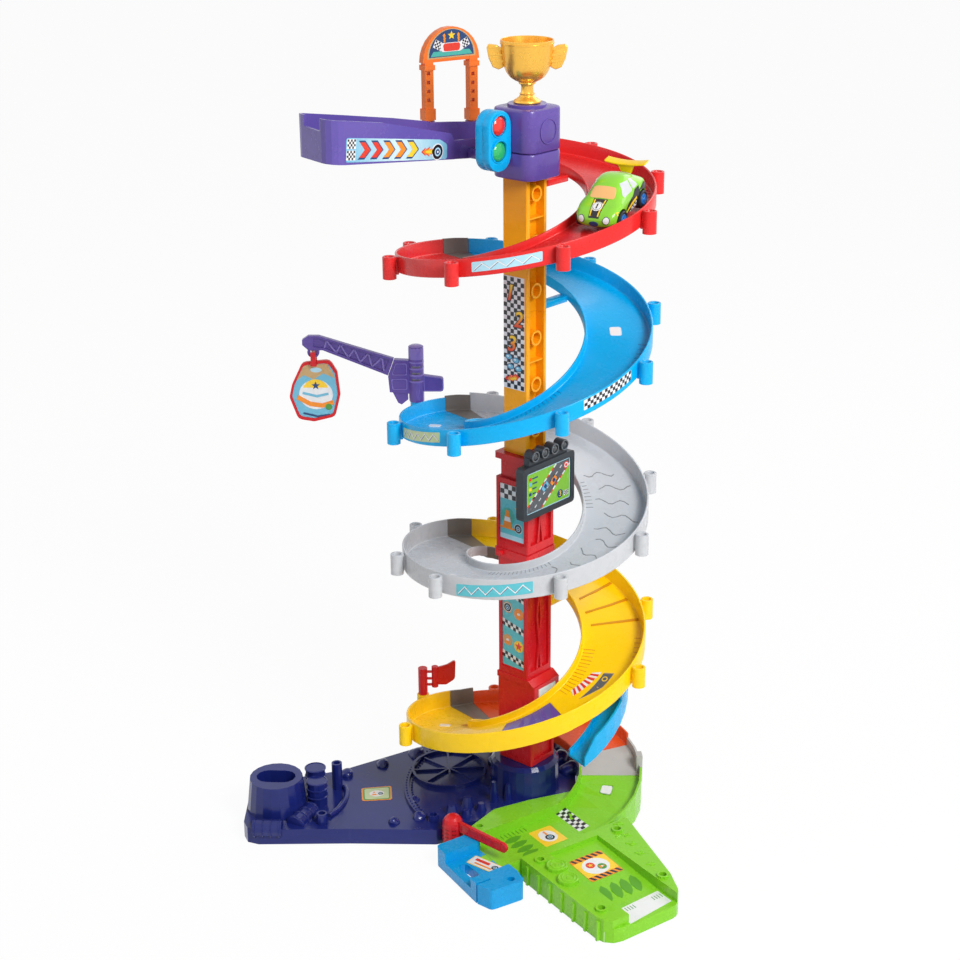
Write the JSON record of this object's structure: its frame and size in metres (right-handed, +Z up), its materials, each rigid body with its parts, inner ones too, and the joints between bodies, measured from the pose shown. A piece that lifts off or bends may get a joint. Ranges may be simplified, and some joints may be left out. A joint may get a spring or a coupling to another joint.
{
  "type": "toy car tower",
  "caption": "Toy car tower: a track winds down round a square column on a base with an exit ramp; start tray, crane with a hanging sign, flag, barrier, board, cup and a small car.",
  "frame": {"origin": "on the column's axis at floor level, at the centre of the base's foot under the column", "axes": "+Z up along the column; -Y is the way that the column's sticker face looks and the start tray runs; +X is the way that the board looks"},
  "size_m": [0.5344, 0.4285, 0.883],
  "materials": {
    "navy": "glossy moulded plastic, dark blue",
    "green": "glossy moulded plastic, grass green",
    "cyan": "glossy moulded plastic, bright blue",
    "red": "glossy moulded plastic, deep red",
    "orange_red": "glossy moulded plastic, orange red",
    "amber": "glossy moulded plastic, amber",
    "yellow": "glossy moulded plastic, yellow",
    "grey": "satin moulded plastic, light grey",
    "taupe": "satin moulded plastic, warm grey",
    "purple": "glossy moulded plastic, violet",
    "gold": "metallic gold plastic",
    "charcoal": "satin moulded plastic, near black",
    "white": "satin translucent white plastic",
    "lamp_red": "clear tinted plastic, red",
    "lamp_green": "clear tinted plastic, green",
    "sign_red": "glossy moulded plastic with a printed face",
    "car_green": "glossy moulded plastic with printed decoration",
    "tyre_rubber": "black soft tyre"
  },
  "bodies": {
    "tower": {"navy_base": "navy", "exit_track": "green", "green_ramp": "green", "exit_adapter": "cyan", "column_foot": "red", "foot_plate": "white", "column_lower": "red", "column_middle": "red", "column_upper_1": "amber", "column_upper_2": "amber", "track_red": "red", "track_blue": "cyan", "track_grey": "grey", "track_yellow": "yellow", "track_clip_1": "taupe", "track_clip_2": "taupe", "track_clip_3": "taupe", "track_clip_4": "taupe", "exit_ramp": "orange_red", "exit_clip": "taupe", "side_chute": "cyan", "location_plate_1": "white", "location_plate_2": "white", "location_plate_3": "white", "location_plate_4": "white", "location_plate_5": "white", "head_lower": "purple", "head_upper": "purple", "light_pod": "cyan", "trophy": "gold", "launch_tray": "purple", "start_gate": "orange_red", "scoreboard": "charcoal", "lamp_1": "charcoal", "lamp_2": "charcoal", "lamp_3": "charcoal", "lamp_4": "charcoal", "car_body": "car_green", "car_spoiler": "yellow"},
    "barrier": {"barrier_arm": "red"},
    "flap": {"diverter_flap": "purple"},
    "red_button": {"lens_red": "lamp_red"},
    "green_button": {"lens_green": "lamp_green"},
    "crane": {"crane_mast": "purple", "crane_jib": "purple"},
    "sign": {"hanging_sign": "sign_red"},
    "flag_piece": {"flag": "red"},
    "front_wheels": {"front_axle": "tyre_rubber"},
    "rear_wheels": {"rear_axle": "tyre_rubber"}
  },
  "joints": [
    {"name": "barrier_turn", "type": "hinge", "parent": "tower", "child": "barrier", "pos_m": [0.0066, -0.13377, 0.031], "axis": [0, 0, 1], "range_deg": [-20, 75]},
    {"name": "flap_drop", "type": "hinge", "parent": "tower", "child": "flap", "pos_m": [0, 0, 0.16094], "axis": [0.8829, -0.4695, 0], "range_deg": [0, 14]},
    {"name": "red_press", "type": "slide", "parent": "tower", "child": "red_button", "axis": [-1, 0, 0], "range_m": [0, 0.002], "stiffness_N_per_m": 200, "springref_m": -0.002},
    {"name": "green_press", "type": "slide", "parent": "tower", "child": "green_button", "axis": [-1, 0, 0], "range_m": [0, 0.002], "stiffness_N_per_m": 200, "springref_m": -0.002},
    {"name": "crane_turn", "type": "hinge", "parent": "tower", "child": "crane", "pos_m": [-0.14442, -0.01773, 0.46], "axis": [0, 0, 1], "range_deg": [-40, 40]},
    {"name": "sign_swing", "type": "hinge", "parent": "crane", "child": "sign", "pos_m": [-0.23213, -0.09133, 0.52422], "axis": [0.6428, -0.766, 0], "range_deg": [-18, 18]},
    {"name": "flag_turn", "type": "hinge", "parent": "tower", "child": "flag_piece", "pos_m": [-0.14442, -0.01773, 0.1], "axis": [0, 0, 1], "continuous": true},
    {"name": "front_roll", "type": "hinge", "parent": "tower", "child": "front_wheels", "pos_m": [0.1039, -0.00326, 0.71249], "axis": [0.9744, 0.225, 0], "continuous": true},
    {"name": "rear_roll", "type": "hinge", "parent": "tower", "child": "rear_wheels", "pos_m": [0.09296, 0.04413, 0.72408], "axis": [0.9744, 0.225, 0], "continuous": true}
  ]
}
